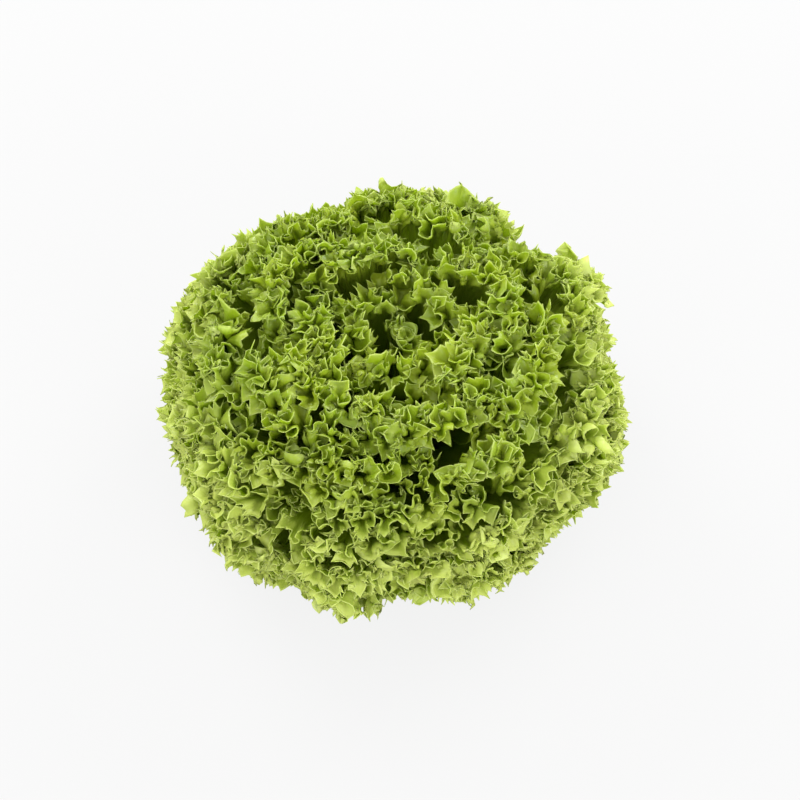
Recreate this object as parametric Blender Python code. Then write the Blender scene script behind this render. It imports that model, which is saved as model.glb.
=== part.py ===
"""A frilly green lettuce head, cut at the butt and standing on it.

Metres, +Z up. The origin is the centre of the stem's flat cut face, on the table.
Every leaf is one blade: a thick pale midrib at its root that thins into a fan, folded along its
margin and cut into teeth. The leaves leave the stem in a spiral, a golden angle apart, and their
tips lie on one dome. The leaves grow together: a fold that would touch the next leaf or the table
opens less, until all of them are clear.
"""

import itertools
import math

import bmesh
import bpy
import numpy as np
from mathutils.bvhtree import BVHTree

# How many leaves the head has, and the angle from each one to the next.
LEAF_COUNT = 56
GOLDEN_ANGLE = math.radians(137.508)
SEED = 7
# How far a leaf may be out of its place: in leaves along the dome, and round it.
SCATTER_ALONG = 0.35
SCATTER_ROUND = math.radians(16)

# The dome that the leaf tips reach: radius and height, from the heart out and down to the table.
DOME = (
    (0.000, 0.134), (0.030, 0.147), (0.062, 0.154), (0.096, 0.142),
    (0.122, 0.112), (0.134, 0.076), (0.132, 0.042), (0.120, 0.017),
)
# The dome isn't round from above: waves round it, relative height and direction in radians.
DOME_LOBES = (
    (2, 0.030, 0.25), (3, 0.007, 0.7), (4, 0.018, -1.64),
    (5, 0.019, 1.05), (7, 0.018, -2.4), (8, 0.016, -2.4),
)
# Bays and bulges in its side: azimuth and half width in radians, and relative depth or height.
DOME_BAYS = (
    (0.12, 0.12, 0.030), (0.42, 0.15, 0.060), (0.74, 0.14, -0.165), (1.03, 0.13, 0.065),
    (1.92, 0.17, -0.035), (3.14, 0.14, -0.020), (3.33, 0.12, 0.025), (3.96, 0.12, 0.060),
    (4.19, 0.13, -0.100), (4.56, 0.18, 0.045), (6.08, 0.14, 0.015),
)
# How far along the dome the first leaf's tip is, and how far before its end the last one's is.
HEART_RADIUS = 0.008
TABLE_REST = 0.002

# The stem: radius and height of its outline, from the cut face up.
STEM_OUTLINE = (
    (0.0150, 0.000), (0.0165, 0.003), (0.0165, 0.012), (0.0140, 0.026),
    (0.0105, 0.040), (0.0062, 0.050), (0.0022, 0.056),
)
STEM_CROWN = 0.0006
STEM_SIDES = 20
STEM_GAP = 0.0004
LOWEST_ROOT, HIGHEST_ROOT = 0.0075, 0.0480

# A leaf's half width at the root and at the margin, for the heart and for the outermost leaf.
ROOT_HALF_WIDTH = (0.0035, 0.0070)
TIP_HALF_WIDTH = (0.021, 0.073)
WIDEST_HALF_SPAN = math.radians(85)

# Thickness of the blade, and of the midrib at its root, for the heart and for the outermost leaf.
# In a sharp fold the blade's two faces stand further apart, by up to 1 / LEAST_LEAN.
BLADE_THICKNESS = 0.0007
LEAST_LEAN = 0.6
RIB_THICKNESS = (0.0012, 0.0034)

# The broad folds, about this long, fill the leaf's own share of the dome but for this clearance.
BROAD_FOLD_LENGTH = 0.042
BROAD_CLEARANCE = 0.0075
SIDE_CLEARANCE = 0.007
LEAST_SWING = 0.0004
WIDEST_SHARE = 0.024
SHARE_BLEND = 3

# The short folds along the margin: half fold, how deep they reach, and how far they open.
SHORT_FOLD_LENGTH = 0.0155
SHORT_FOLD_DEPTH = 0.026
SHORT_FOLD_TILT = math.radians(60)
TOOTH_LENGTH = 0.0065
TOOTH_DEPTH = 0.010
VALLEY_DEPTH = 0.0015

# How far the short folds open before anything touches. A fold that comes this near another
# leaf, the table or its own leaf opens less by the factor HOLD_BACK.
FIRST_OPENING = 1.35
LEAF_GAP = 0.0006
FOLD_GAP = 0.0002
HOLD_BACK = 0.85
# From here on the leaf's broad folds flatten too.
LEAST_OPENING = 0.35
MOST_ROUNDS = 40

# Rows of the leaf's grid from root to margin, each with the columns halved this many times.
ROOT_HALVINGS = 3
LEAF_ROWS = ((0.0, ROOT_HALVINGS), (0.30, 3), (0.55, 2), (0.76, 1), (0.90, 0), (1.0, 0))
FIRST_FOLDED_SHARE = 0.55
# The middle surface is worked out on this many columns for each half fold, and on this many rows.
COLUMNS_A_FOLD = 4
ROW_STEPS = 50

MATERIALS = {
    "leaf": ((0.20, 0.36, 0.035), 0.45),
    "stem": ((0.70, 0.76, 0.46), 0.55),
}


def smoothstep(value, low, high):
    share = np.clip((value - low) / (high - low), 0, 1)
    return share * share * (3 - 2 * share)


def between(pair, share):
    return pair[0] + (pair[1] - pair[0]) * share


def unit(vectors):
    return vectors / np.maximum(np.linalg.norm(vectors, axis=-1, keepdims=True), 1e-12)


def evenly_spaced(line, samples):
    """The line's length, and points evenly spaced along it."""
    along = np.concatenate([[0], np.cumsum(np.linalg.norm(np.diff(line, axis=0), axis=1))])
    even = np.linspace(0, along[-1], samples)
    return along[-1], np.column_stack([np.interp(even, along, line[:, k]) for k in range(2)])


def smooth_line(points, samples=241):
    """The length of the smooth curve through the points, and points evenly spaced along it."""
    given = np.array(points, float)
    given = np.vstack([2 * given[0] - given[1], given, 2 * given[-1] - given[-2]])
    t = np.linspace(0, 1, 40)[:, None]
    pieces = []
    for a, b, c, d in zip(given, given[1:], given[2:], given[3:]):
        bend = 2 * a - 5 * b + 4 * c - d
        twist = 3 * b - a - 3 * c + d
        pieces.append(0.5 * (2 * b + (c - a) * t + bend * t**2 + twist * t**3))
    return evenly_spaced(np.vstack(pieces), samples)


DOME_LENGTH, DOME_LINE = smooth_line(DOME)
DOME_ALONG = np.linspace(0, DOME_LENGTH, len(DOME_LINE))


def dome_at(along):
    """Radius and height of the dome, a distance along it from the heart."""
    return np.array([np.interp(along, DOME_ALONG, DOME_LINE[:, k]) for k in range(2)])


def lobe_factor(azimuth):
    """How far the dome reaches in a direction, against its round outline."""
    factor = 1 + sum(size * np.cos(count * azimuth - turn) for count, size, turn in DOME_LOBES)
    for middle, half_width, size in DOME_BAYS:
        away = (azimuth - middle + math.pi) % (2 * math.pi) - math.pi
        factor = factor + size * np.exp(-((away / half_width) ** 2))
    return factor


def stem_radius(height):
    radii, heights = zip(*STEM_OUTLINE)
    return np.interp(height, heights, radii)


def tip_half_width(along):
    return between(TIP_HALF_WIDTH, np.clip(along / DOME_LENGTH, 0, 1) ** 0.7)


def leaf_places():
    """Each leaf's distance along the dome and its azimuth, from the heart out.

    The leaves lie closest where the dome's ring holds most of them side by side."""
    even = np.linspace(HEART_RADIUS, DOME_LENGTH - TABLE_REST, 400)
    crowding = np.maximum(dome_at(even)[0], 0.008) / tip_half_width(even)
    count = np.concatenate([[0], np.cumsum((crowding[1:] + crowding[:-1]) / 2)])
    count *= (LEAF_COUNT - 1) / count[-1]
    rng = np.random.default_rng(SEED)
    number = np.arange(LEAF_COUNT)
    scattered = number + rng.uniform(-SCATTER_ALONG, SCATTER_ALONG, LEAF_COUNT)
    azimuth = number * GOLDEN_ANGLE + rng.uniform(-SCATTER_ROUND, SCATTER_ROUND, LEAF_COUNT)
    return np.interp(scattered, count, even), azimuth % (2 * math.pi)


LEAF_ALONG, LEAF_AZIMUTH = leaf_places()


class Leaf:
    """One leaf's shape, from its root on the stem to its margin on the dome.

    Columns run across the leaf and are counted in short half folds, q. lateral is the same place
    from -1 to 1, and rows run from 0 at the root to 1 at the margin."""

    def __init__(self, index):
        rng = np.random.default_rng(SEED * 1000 + index)
        self.name = f"leaf_{index + 1:02d}"
        self.index = index
        self.outwards = index / (LEAF_COUNT - 1)
        self.half_width = tip_half_width(LEAF_ALONG[index])
        self.ring = max(dome_at(LEAF_ALONG[index])[0], 0.012)
        self.half_span = min(self.half_width / self.ring, WIDEST_HALF_SPAN)
        # A multiple of eight, so that the rows nearer the root can halve their columns.
        self.folds = max(1, round(self.half_width * 2.6 / SHORT_FOLD_LENGTH / 4)) * 8
        self.fold = np.arange(self.folds + 1)
        self.q = np.linspace(0, self.folds, self.folds * COLUMNS_A_FOLD + 1)
        self.rows = np.linspace(0, 1, ROW_STEPS + 1)[:, None]

        widths = rng.uniform(0.7, 1.3, self.folds)
        fold_at = np.concatenate([[0], np.cumsum(widths)]) / widths.sum() * 2 - 1
        self.lateral = self.across(fold_at)
        self.ragged = self.across(rng.uniform(-1, 1, self.folds + 1))
        self.broad_start = rng.uniform(0, 2 * math.pi)
        self.wander = np.interp(self.q, np.linspace(0, self.folds, 7), rng.uniform(-0.8, 0.8, 7))
        self.crest = self.across(rng.uniform(0.65, 1.25, self.folds + 1))
        self.tooth_size = self.across(rng.uniform(0.35, 1.0, self.folds + 1))
        self.opening = np.full(self.folds + 1, FIRST_OPENING)
        self.calm = 1.0

    def across(self, values):
        """One value for each short half fold, spread over the columns."""
        return np.interp(self.q, self.fold, values)

    def middle_line(self, samples=60):
        """The length of the midrib's line, and its radius and height from root to tip."""
        root_height = between((HIGHEST_ROOT, LOWEST_ROOT), self.outwards**0.8)
        clear = stem_radius(root_height) + STEM_GAP + between(RIB_THICKNESS, self.outwards) / 2
        # The root's columns are chords round the stem, so it lies further out the wider they are.
        column_turn = between(ROOT_HALF_WIDTH, self.outwards) / clear / (self.folds >> ROOT_HALVINGS)
        root = np.array([clear / math.cos(column_turn), root_height])
        tip = dome_at(LEAF_ALONG[self.index])
        root_angle = math.radians(88 - 78 * self.outwards**0.8)
        tip_angle = math.radians(90 - 95 * self.outwards**1.6)
        reach = 0.38 * np.linalg.norm(tip - root)
        low = root + reach * np.array([math.cos(root_angle), math.sin(root_angle)])
        high = tip - reach * np.array([math.cos(tip_angle), math.sin(tip_angle)])
        t = np.linspace(0, 1, samples)[:, None]
        first, last = (1 - t) ** 2, t**2
        curve = first * ((1 - t) * root + 3 * t * low) + last * (3 * (1 - t) * high + t * tip)
        return evenly_spaced(curve, samples)

    def own_share(self, leaves, offsets):
        """How far the dome is free on the heart's and on the table's side of the leaf's tip."""
        heartwards = np.full(offsets.shape, WIDEST_SHARE)
        tablewards = np.full(offsets.shape, WIDEST_SHARE)
        for other in leaves:
            if other is self:
                continue
            turn = LEAF_AZIMUTH[other.index] - LEAF_AZIMUTH[self.index]
            turn = (turn + math.pi) % (2 * math.pi) - math.pi
            beyond = (np.abs(offsets - turn) - other.half_span) * self.ring - SIDE_CLEARANCE
            apart = abs(LEAF_ALONG[other.index] - LEAF_ALONG[self.index])
            gap = apart + 2.5 * np.maximum(0, beyond)
            if other.index < self.index:
                heartwards = np.minimum(heartwards, gap)
            else:
                tablewards = np.minimum(tablewards, gap)
        return heartwards, tablewards

    def spread_fan(self, leaves):
        """Lays the fan on its own cup, with the broad folds that its share of the dome allows."""
        self.length, line = self.middle_line()
        along = np.linspace(0, 1, len(line))
        reach = 1 - 0.10 * np.abs(self.lateral) ** 3 + 0.03 * self.ragged
        at = self.rows * reach
        radius, height = (np.interp(at, along, line[:, k]) for k in range(2))
        course = unit(np.gradient(line, axis=0))
        outward, upward = (np.interp(at, along, course[:, k]) for k in range(2))
        root_half = between(ROOT_HALF_WIDTH, self.outwards)
        half = root_half + (self.half_width - root_half) * smoothstep(self.rows, 0.10, 0.95)
        radius = np.maximum(radius, 0.004)
        span = np.minimum(half / radius, WIDEST_HALF_SPAN)
        turn = self.lateral * span

        heartwards, tablewards = self.own_share(leaves, turn[-1])
        room = np.maximum((heartwards + tablewards) / 4 - BROAD_CLEARANCE, LEAST_SWING)
        middle = (tablewards - heartwards) / 4
        blend = SHARE_BLEND * COLUMNS_A_FOLD
        window = np.hanning(2 * blend + 3)[1:-1]
        room, middle = (
            np.convolve(np.pad(share, blend, mode="edge"), window / window.sum(), mode="valid")
            for share in (room, middle)
        )
        # A leaf that wraps round the heart is squeezed, and has broad folds less deep.
        room = room * self.calm * (span * radius / half)[-1]
        count = max(1.0, 2 * self.half_width / BROAD_FOLD_LENGTH)
        broad = math.pi * count * (self.lateral + 1) + self.broad_start + self.wander
        grow = self.rows**2.6
        swing = (middle + room * np.sin(broad)) * grow
        sway = 0.45 * room * np.sin(2 * broad) * grow
        radius = radius + upward * swing
        height = height - outward * swing
        azimuth = LEAF_AZIMUTH[self.index] + turn + sway / np.maximum(radius, 0.010)
        radius = radius * (1 + (lobe_factor(azimuth) - 1) * smoothstep(self.rows, 0.15, 1.0))
        self.fan = np.stack([radius * np.cos(azimuth), radius * np.sin(azimuth), height], axis=-1)

        ray = np.gradient(self.fan, self.rows[:, 0], axis=0)
        self.pace = np.linalg.norm(ray, axis=-1, keepdims=True)
        self.ray = unit(ray)
        self.normal = unit(np.cross(self.ray, np.gradient(self.fan, axis=1)))
        self.side = unit(np.cross(self.normal, self.ray))

    def open_folds(self):
        """The middle surface with its short folds and teeth, as far as each fold may open.

        The last stretch of every ray from the root tilts to one side and the other, at its own
        length, and at every crest it runs on to a point."""
        opening = self.across(self.opening)
        from_margin = (1 - self.rows) * self.length
        rise = SHORT_FOLD_TILT * (1 - smoothstep(from_margin, 0, SHORT_FOLD_DEPTH)) ** 1.2
        over = rise * opening * self.crest * np.cos(math.pi * self.q)
        aside = rise * opening * 0.55 * np.sin(2 * math.pi * self.q)
        tilt = np.sqrt(over**2 + aside**2)
        direction = self.normal * over[..., None] + self.side * aside[..., None]
        direction /= np.maximum(tilt, 1e-9)[..., None]
        heading = self.ray * np.cos(tilt)[..., None] + direction * np.sin(tilt)[..., None]

        from_crest = np.abs((self.q / 2 + 0.5) % 1.0 - 0.5) * 2
        tooth = TOOTH_LENGTH * opening * self.tooth_size * (1 - from_crest) ** 1.6
        margin = smoothstep(from_margin, TOOTH_DEPTH, 0)
        stretch = 1 + (tooth - VALLEY_DEPTH) * margin / (TOOTH_DEPTH / 2)
        step = heading * self.pace * np.maximum(stretch, 0.2)[..., None]
        legs = (step[1:] + step[:-1]) / 2 / ROW_STEPS
        return np.concatenate([self.fan[:1], self.fan[:1] + np.cumsum(legs, axis=0)])

    def shell(self, slab):
        """The slab's vertices laid on the middle surface at its thickness, and their directions."""
        column = slab.fold * COLUMNS_A_FOLD
        middle = self.open_folds()[np.rint(slab.share * ROW_STEPS).astype(int), column]
        outward, lean = slab.outward(middle)
        rib = between(RIB_THICKNESS, self.outwards) - BLADE_THICKNESS
        centred = np.maximum(0.0, 1 - np.abs(self.lateral[column]))
        ridge = rib * centred**1.5 * (1 - smoothstep(slab.share, 0.0, 0.85))
        half = (BLADE_THICKNESS / np.clip(lean, LEAST_LEAN, 1) + ridge) / 2
        return middle + outward * half[:, None], outward


class Slab:
    """A flat slab of triangles that is laid on a leaf: its mesh, and where its vertices lie."""

    def __init__(self, folds):
        self.mesh = flat_slab(folds)
        places = np.empty(len(self.mesh.vertices) * 3)
        self.mesh.vertices.foreach_get("co", places)
        corners = np.empty(len(self.mesh.polygons) * 3, int)
        self.mesh.polygons.foreach_get("vertices", corners)
        fold, row, side = places.reshape(-1, 3).T
        self.faces = corners.reshape(-1, 3)
        self.fold = np.rint(fold).astype(int)
        self.share = np.array([share for share, _ in LEAF_ROWS])[np.rint(row).astype(int)]
        self.blade_faces = self.faces[np.ptp(side[self.faces], axis=1) == 0]

    def outward(self, points, steps=24):
        """At each vertex, the direction nearest to the normals of all its faces, and how near."""
        a, b, c = (points[self.blade_faces[:, k]] for k in range(3))
        corner = self.blade_faces.T.ravel()
        normal = np.tile(unit(np.cross(b - a, c - a)), (3, 1))
        direction = np.zeros(points.shape)
        np.add.at(direction, corner, normal)
        direction = unit(direction)
        for step in range(2, steps):
            lean = (direction[corner] * normal).sum(axis=1)
            order = np.lexsort((lean, corner))
            vertex, first = np.unique(corner[order], return_index=True)
            furthest = normal[order[first]]
            direction[vertex] += (furthest - direction[vertex]) / step
        direction = unit(direction)
        lean = (direction[corner] * normal).sum(axis=1)
        least = np.ones(len(points))
        np.minimum.at(least, corner, lean)
        return direction, least


def flat_slab(folds):
    """A mesh whose vertices lie at (half fold, row, side): side is -1 or 1.

    Its rows have as many columns as LEAF_ROWS says, and both faces are split alike."""
    bm = bmesh.new()
    first = folds >> LEAF_ROWS[0][1]
    previous = None
    for column in range(first + 1):
        vertex = bm.verts.new((column * folds / first, 0, 0))
        if previous:
            bm.edges.new((previous, vertex))
        previous = vertex
    edges = list(bm.edges)
    for row, (_, halvings) in enumerate(LEAF_ROWS[1:], 1):
        made = bmesh.ops.extrude_edge_only(bm, edges=edges)["geom"]
        vertices = [g for g in made if isinstance(g, bmesh.types.BMVert)]
        bmesh.ops.translate(bm, verts=vertices, vec=(0, 1, 0))
        edges = [e for e in bm.edges if all(abs(v.co.y - row) < 1e-6 for v in e.verts)]
        if halvings < LEAF_ROWS[row - 1][1]:
            bmesh.ops.subdivide_edges(bm, edges=edges, cuts=1)
            edges = [e for e in bm.edges if all(abs(v.co.y - row) < 1e-6 for v in e.verts)]
    bmesh.ops.triangulate(bm, faces=bm.faces[:])
    bmesh.ops.translate(bm, verts=bm.verts[:], vec=(0, 0, -1))
    made = bmesh.ops.extrude_face_region(bm, geom=bm.faces[:], use_keep_orig=True)["geom"]
    vertices = [g for g in made if isinstance(g, bmesh.types.BMVert)]
    bmesh.ops.translate(bm, verts=vertices, vec=(0, 0, 2))
    bmesh.ops.triangulate(bm, faces=[f for f in bm.faces if len(f.verts) > 3])
    bmesh.ops.recalc_face_normals(bm, faces=bm.faces[:])
    mesh = bpy.data.meshes.new(f"slab_{folds}")
    bm.to_mesh(mesh)
    bm.free()
    return mesh


class Place:
    """The space that a leaf takes up as its folds are now, with the gap that it keeps."""

    def __init__(self, leaf, slab):
        self.leaf, self.faces = leaf, slab.faces
        shell, outward = leaf.shell(slab)
        self.points = shell + outward * LEAF_GAP / 2
        self.touched = [np.nonzero(self.points[:, 2] < LEAF_GAP)[0]]
        for gap in (0, FOLD_GAP):
            grown = shell + outward * gap / 2
            tree = BVHTree.FromPolygons(grown.tolist(), self.faces.tolist())
            first, second = self.crossing_faces(tree, tree, self.faces)
            apart = (first[:, :, None] != second[:, None, :]).all(axis=(1, 2))
            self.touched.append(first[apart].ravel())
        self.low, self.high = self.points.min(axis=0), self.points.max(axis=0)
        self.tree = BVHTree.FromPolygons(self.points.tolist(), self.faces.tolist())

    def crossing_faces(self, tree, other_tree, other_faces):
        pairs = np.array(tree.overlap(other_tree), int).reshape(-1, 2)
        return self.faces[pairs[:, 0]], other_faces[pairs[:, 1]]

    def meet(self, other):
        """Notes where this leaf and another touch."""
        if (self.low < other.high).all() and (other.low < self.high).all():
            mine, theirs = self.crossing_faces(self.tree, other.tree, other.faces)
            self.touched.append(mine.ravel())
            other.touched.append(theirs.ravel())


def hold_folds_back(leaves, slabs):
    """Opens the folds of all the leaves less, round by round, where they would touch."""
    places = {}
    changed = set(range(len(leaves)))
    for _ in range(MOST_ROUNDS):
        for index in changed:
            places[index] = Place(leaves[index], slabs[index])
        for a, b in itertools.combinations(range(len(leaves)), 2):
            if a in changed or b in changed:
                places[a].meet(places[b])
        changed = set()
        for index, (leaf, slab) in enumerate(zip(leaves, slabs)):
            vertices = np.unique(np.concatenate(places[index].touched))
            places[index].touched = [np.empty(0, int)]
            folds = np.unique(slab.fold[vertices[slab.share[vertices] >= FIRST_FOLDED_SHARE]])
            if len(folds):
                if leaf.opening[folds].min() < LEAST_OPENING:
                    leaf.calm *= HOLD_BACK
                    leaf.spread_fan(leaves)
                leaf.opening[folds] *= HOLD_BACK
                changed.add(index)
        if not changed:
            return


def add_object(name, mesh, material):
    mesh.name = name
    mesh.materials.append(material)
    made = bpy.data.objects.new(name, mesh)
    bpy.context.scene.collection.objects.link(made)


def make_leaves(material):
    leaves = [Leaf(index) for index in range(LEAF_COUNT)]
    for leaf in leaves:
        leaf.spread_fan(leaves)
    widths = {leaf.folds: Slab(leaf.folds) for leaf in leaves}
    slabs = [widths[leaf.folds] for leaf in leaves]
    hold_folds_back(leaves, slabs)
    for leaf, slab in zip(leaves, slabs):
        mesh = slab.mesh.copy()
        mesh.vertices.foreach_set("co", leaf.shell(slab)[0].ravel())
        add_object(leaf.name, mesh, material)
    for slab in widths.values():
        bpy.data.meshes.remove(slab.mesh)


def make_stem(material):
    """The stem: its outline spun round the axis, with a flat cut face at the bottom."""
    bm = bmesh.new()
    _, line = smooth_line(STEM_OUTLINE[1:], 9)
    crown = (0, STEM_OUTLINE[-1][1] + STEM_CROWN)
    outline = [(0, 0), STEM_OUTLINE[0], *line.tolist(), crown]
    vertices = [bm.verts.new((radius, 0, height)) for radius, height in outline]
    edges = [bm.edges.new(pair) for pair in zip(vertices, vertices[1:])]
    bmesh.ops.spin(
        bm, geom=vertices + edges, cent=(0, 0, 0), axis=(0, 0, 1),
        angle=2 * math.pi, steps=STEM_SIDES, use_merge=True,
    )
    bmesh.ops.remove_doubles(bm, verts=bm.verts[:], dist=1e-5)
    bmesh.ops.recalc_face_normals(bm, faces=bm.faces[:])
    mesh = bpy.data.meshes.new("stem")
    bm.to_mesh(mesh)
    bm.free()
    mesh.shade_smooth()
    add_object("stem", mesh, material)


def finish(name):
    colour, roughness = MATERIALS[name]
    material = bpy.data.materials.new(name)
    material.use_nodes = True
    shader = material.node_tree.nodes["Principled BSDF"]
    shader.inputs["Base Color"].default_value = (*colour, 1)
    shader.inputs["Roughness"].default_value = roughness
    shader.inputs["Metallic"].default_value = 0
    return material


def main():
    for old in list(bpy.data.objects):
        bpy.data.objects.remove(old)
    make_stem(finish("stem"))
    make_leaves(finish("leaf"))


main()
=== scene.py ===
"""The looks of a frilly green lettuce head that stands on the cut end of its stem.

Metres, +Z up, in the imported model's frame. Every leaf is grown by the rules of its solid: a fan on
its own cup, broad folds within its share of the dome, and short folds that are held back where
they would touch. Here each leaf then gets what its solid leaves out: fine ruffles along the
margin, teeth, a thin blade, and its finish.
"""

import itertools
import math

import bmesh
import bpy
import numpy as np
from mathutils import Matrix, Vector
from mathutils.bvhtree import BVHTree


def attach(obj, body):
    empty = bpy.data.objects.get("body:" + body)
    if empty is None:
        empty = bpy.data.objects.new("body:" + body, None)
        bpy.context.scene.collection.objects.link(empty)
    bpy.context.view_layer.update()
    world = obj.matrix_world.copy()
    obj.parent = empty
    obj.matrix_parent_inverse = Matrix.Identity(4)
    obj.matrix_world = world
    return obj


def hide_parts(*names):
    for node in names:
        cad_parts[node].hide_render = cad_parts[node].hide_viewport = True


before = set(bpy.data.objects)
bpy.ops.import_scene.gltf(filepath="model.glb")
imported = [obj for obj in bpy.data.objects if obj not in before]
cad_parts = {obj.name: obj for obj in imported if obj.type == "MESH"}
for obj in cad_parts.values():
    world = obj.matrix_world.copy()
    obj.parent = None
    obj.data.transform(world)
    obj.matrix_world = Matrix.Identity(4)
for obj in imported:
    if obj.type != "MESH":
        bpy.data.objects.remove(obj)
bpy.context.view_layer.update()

# How many leaves the head has, and the angle from each one to the next.
LEAF_COUNT = 56
GOLDEN_ANGLE = math.radians(137.508)
SEED = 7
# How far a leaf may be out of its place: in leaves along the dome, and round it.
SCATTER_ALONG = 0.35
SCATTER_ROUND = math.radians(16)

# The dome that the leaf tips reach: radius and height, from the heart out and down to the table.
DOME = (
    (0.000, 0.134), (0.030, 0.147), (0.062, 0.154), (0.096, 0.142),
    (0.122, 0.112), (0.134, 0.076), (0.132, 0.042), (0.120, 0.017),
)
# The dome isn't round from above: waves round it, relative height and direction in radians.
DOME_LOBES = (
    (2, 0.030, 0.25), (3, 0.007, 0.7), (4, 0.018, -1.64),
    (5, 0.019, 1.05), (7, 0.018, -2.4), (8, 0.016, -2.4),
)
# Bays and bulges in its side: azimuth and half width in radians, and relative depth or height.
DOME_BAYS = (
    (0.12, 0.12, 0.030), (0.42, 0.15, 0.060), (0.74, 0.14, -0.165), (1.03, 0.13, 0.065),
    (1.92, 0.17, -0.035), (3.14, 0.14, -0.020), (3.33, 0.12, 0.025), (3.96, 0.12, 0.060),
    (4.19, 0.13, -0.100), (4.56, 0.18, 0.045), (6.08, 0.14, 0.015),
)
HEART_RADIUS = 0.008
TABLE_REST = 0.002

# The stem: radius and height of its outline, from the cut face up.
STEM_OUTLINE = (
    (0.0150, 0.000), (0.0165, 0.003), (0.0165, 0.012), (0.0140, 0.026),
    (0.0105, 0.040), (0.0062, 0.050), (0.0022, 0.056),
)
STEM_CROWN = 0.0006
STEM_SIDES = 72
STEM_GAP = 0.0004
LOWEST_ROOT, HIGHEST_ROOT = 0.0075, 0.0480

# A leaf's half width at the root and at the margin, for the heart and for the outermost leaf.
ROOT_HALF_WIDTH = (0.0035, 0.0070)
TIP_HALF_WIDTH = (0.021, 0.073)
WIDEST_HALF_SPAN = math.radians(85)

# The blade of the solids, and the midrib at its root, for the heart and for the outermost leaf.
SOLID_THICKNESS = 0.0007
LEAST_LEAN = 0.6
RIB_THICKNESS = (0.0012, 0.0034)

# The broad folds, about this long, fill the leaf's own share of the dome but for this clearance.
BROAD_FOLD_LENGTH = 0.042
BROAD_CLEARANCE = 0.0075
SIDE_CLEARANCE = 0.007
LEAST_SWING = 0.0004
WIDEST_SHARE = 0.024
SHARE_BLEND = 3

# The short folds along the margin: half fold, how deep they reach, and how far they open.
SHORT_FOLD_LENGTH = 0.0155
SHORT_FOLD_DEPTH = 0.026
SHORT_FOLD_TILT = math.radians(60)
TOOTH_LENGTH = 0.0065
TOOTH_DEPTH = 0.010
VALLEY_DEPTH = 0.0015

# How far the short folds open before anything touches. A fold that comes this near another
# leaf, the table or its own leaf opens less by the factor HOLD_BACK.
FIRST_OPENING = 1.35
LEAF_GAP = 0.0006
FOLD_GAP = 0.0002
HOLD_BACK = 0.85
LEAST_OPENING = 0.35
MOST_ROUNDS = 40

# Rows of the solid's grid from root to margin, each with the columns halved this many times.
ROOT_HALVINGS = 3
LEAF_ROWS = ((0.0, ROOT_HALVINGS), (0.30, 3), (0.55, 2), (0.76, 1), (0.90, 0), (1.0, 0))
FIRST_FOLDED_SHARE = 0.55
COLUMNS_A_FOLD = 4
ROW_STEPS = 50

# The fine leaf's rows: distance from the margin, and how often the columns there are halved.
FINE_ROWS = (
    (0.0000, 0), (0.0009, 0), (0.0023, 0), (0.0042, 1), (0.0068, 1), (0.0105, 2),
    (0.0155, 2), (0.0230, 3), (0.0340, 3), (0.0500, 3), (0.0700, 3),
)
FINE_COLUMNS = 44
FINE_ROW_STEPS = 120
BLADE_THICKNESS = 0.00055
RIM_THICKNESS = 0.00040

# The ruffles fill this share of the free room beside the leaf. The room is looked for this far
# below the margin, from just off the blade, and up to a limit.
FREE_BELOW_MARGIN = 0.004
FREE_START = 0.0015
FREE_LIMIT = 0.022
FREE_WINDOW = 9
FILLED = 0.13
# How much taller or lower than that they are, and how often along the margin it changes.
RUFFLE_VARIETY = (0.4, 1.4)
MARGIN_KNOTS = 0.022
# The lowest and the tallest ruffles: half height, length, and how deep they reach.
RUFFLE_RISE = (0.0008, 0.0050)
RUFFLE_LENGTH = (0.0060, 0.0180)
RUFFLE_DEPTH = (0.010, 0.034)
# How far their crests bulge over the valleys, and how much more to one side.
RUFFLE_OVERHANG = 0.35
RUFFLE_LEAN = 0.35
# The ripples along the rim itself: length, height against length, and how deep they reach.
RIPPLE_LENGTH = (0.0036, 0.0060)
RIPPLE_HEIGHT = 0.07
RIPPLE_STRENGTH = (0, 1.2)
RIPPLE_DEPTH = 0.0060
# The lobes of the margin: length along it, height, and the share of the length up to the top.
LOBE_LENGTH = (0.011, 0.020)
LOBE_HEIGHT = (0.0010, 0.0040)
LOBE_TOP = (0.4, 0.6)
# The teeth on them: how far apart, their height and its choices, and how hollow their sides are.
TOOTH_GAP = (0.0019, 0.0044)
FINE_TOOTH_LENGTH = (0.0026, 0.0054)
FINE_TOOTH_SIZES = (0.5, 1, 1)
FINE_TOOTH_HOLLOW = 1.6
FINE_TOOTH_DEPTH = 0.0060
# The notches between the teeth, and how much of the solids' own teeth the fine margin keeps.
NOTCH_DEPTH = 0.0026
TOOTH_SHARE = 0.80
# How far the rim rolls outwards, how much that varies, and how far from the margin it starts.
RIM_CURL = math.radians(25)
RIM_CURL_SPREAD = math.radians(50)
RIM_CURL_DEPTH = 0.0070
# The blisters of the blade: half height, how long they are along and across the margin, how
# the second wave differs from the first, and where they die out.
BLISTER_RISE = 0.0009
BLISTER_LENGTH = (0.0120, 0.0120)
BLISTER_CROSSING = (0.73, 1.2)
BLISTER_FADE = (0.018, 0.045)

# The colours of the leaf: its own two greens, paler spots and veins, the outermost leaves, paler
# partly in their own green and partly as painted light, the rim, pale partly in its own colour and
# partly as a painted highlight, painted shade deep between the leaves, near the root, and the light
# that comes through.
LEAF_GREEN = (0.305, 0.390, 0.012)
LEAF_DEEP = (0.200, 0.295, 0.009)
LEAF_PALE = (0.480, 0.545, 0.090)
OUTER_GREEN_AND_LIGHT = (0.620, 0.680, 0.160)
RIM_GREEN_AND_HIGHLIGHT = (0.640, 0.700, 0.270)
LEAF_PAINTED_SHADE = (0.170, 0.265, 0.012)
HEART_GREEN = (0.460, 0.550, 0.050)
LEAF_THROUGH = (0.600, 0.750, 0.030)
# How much of the leaf's light is light that comes through.
THROUGH_SHARE = 0.42
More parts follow.
